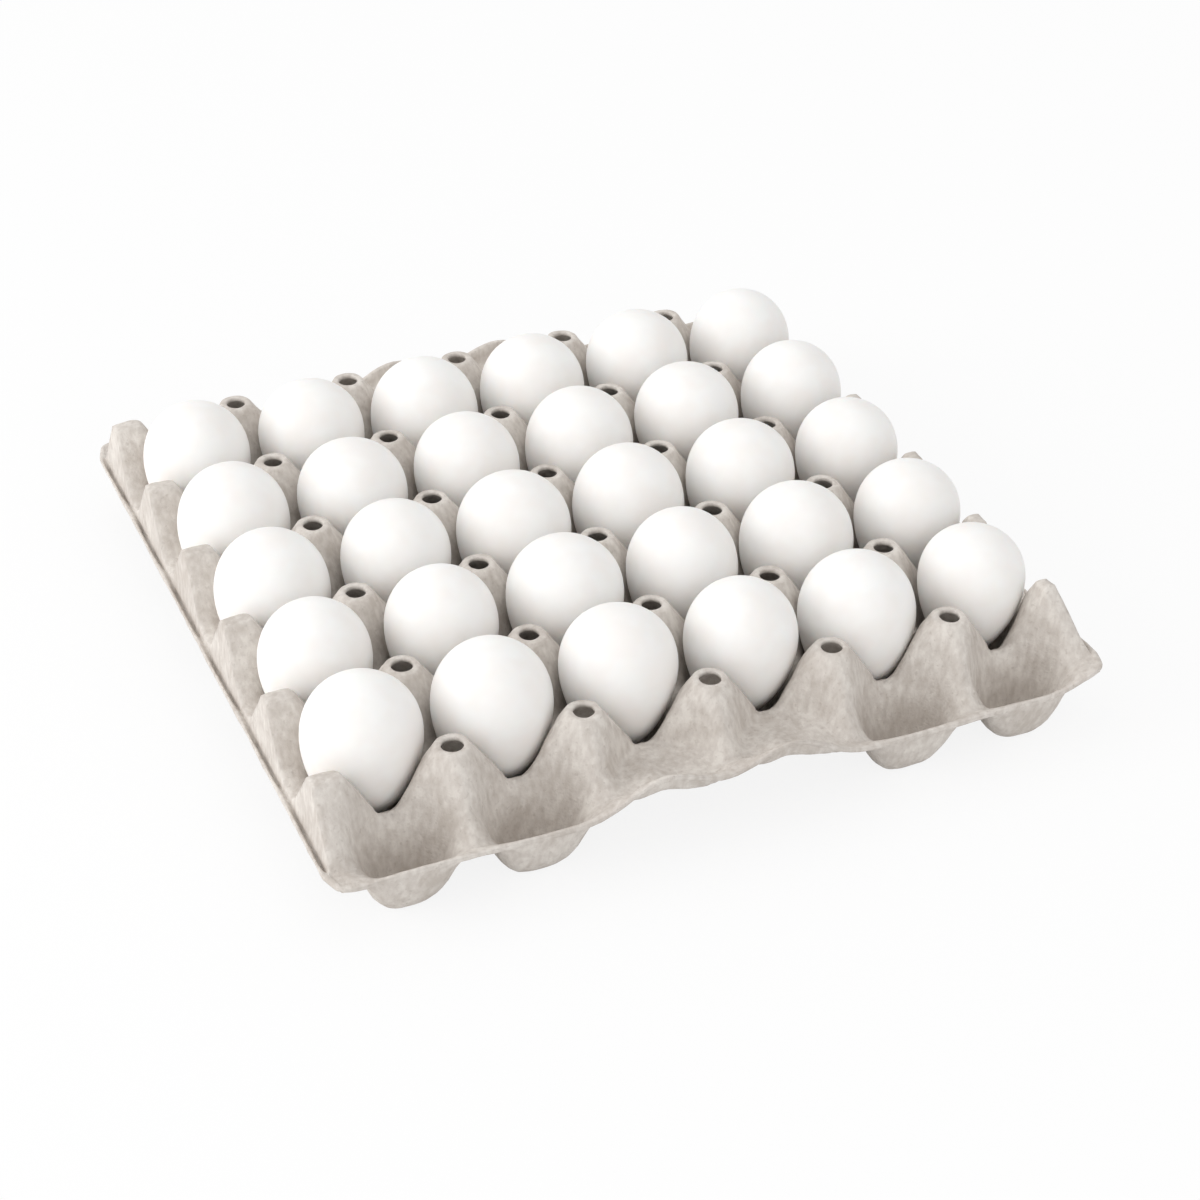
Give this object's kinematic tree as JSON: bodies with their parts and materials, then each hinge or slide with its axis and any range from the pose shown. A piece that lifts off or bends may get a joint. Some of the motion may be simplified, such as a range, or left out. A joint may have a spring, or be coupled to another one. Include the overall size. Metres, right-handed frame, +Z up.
{
  "type": "egg tray with eggs",
  "caption": "Open moulded-pulp egg tray with hollow posts, edge pockets and raised finger arches, with a white egg standing in every cup.",
  "frame": {"origin": "centre of the tray on the surface it stands on", "axes": "+Z up; X along the six cells of a row; Y along the five rows, front at -Y"},
  "size_m": [0.296, 0.296, 0.0657],
  "materials": {
    "pulp": "matt grey-beige moulded paper pulp, slightly fibrous",
    "eggshell": "white eggshell, soft satin"
  },
  "bodies": {
    "root": {"tray": "pulp", "egg_1_1": "eggshell", "egg_1_2": "eggshell", "egg_1_3": "eggshell", "egg_1_4": "eggshell", "egg_1_5": "eggshell", "egg_1_6": "eggshell", "egg_2_1": "eggshell", "egg_2_2": "eggshell", "egg_2_3": "eggshell", "egg_2_4": "eggshell", "egg_2_5": "eggshell", "egg_2_6": "eggshell", "egg_3_1": "eggshell", "egg_3_2": "eggshell", "egg_3_3": "eggshell", "egg_3_4": "eggshell", "egg_3_5": "eggshell", "egg_3_6": "eggshell", "egg_4_1": "eggshell", "egg_4_2": "eggshell", "egg_4_3": "eggshell", "egg_4_4": "eggshell", "egg_4_5": "eggshell", "egg_4_6": "eggshell", "egg_5_1": "eggshell", "egg_5_2": "eggshell", "egg_5_3": "eggshell", "egg_5_4": "eggshell", "egg_5_5": "eggshell", "egg_5_6": "eggshell"}
  },
  "joints": []
}
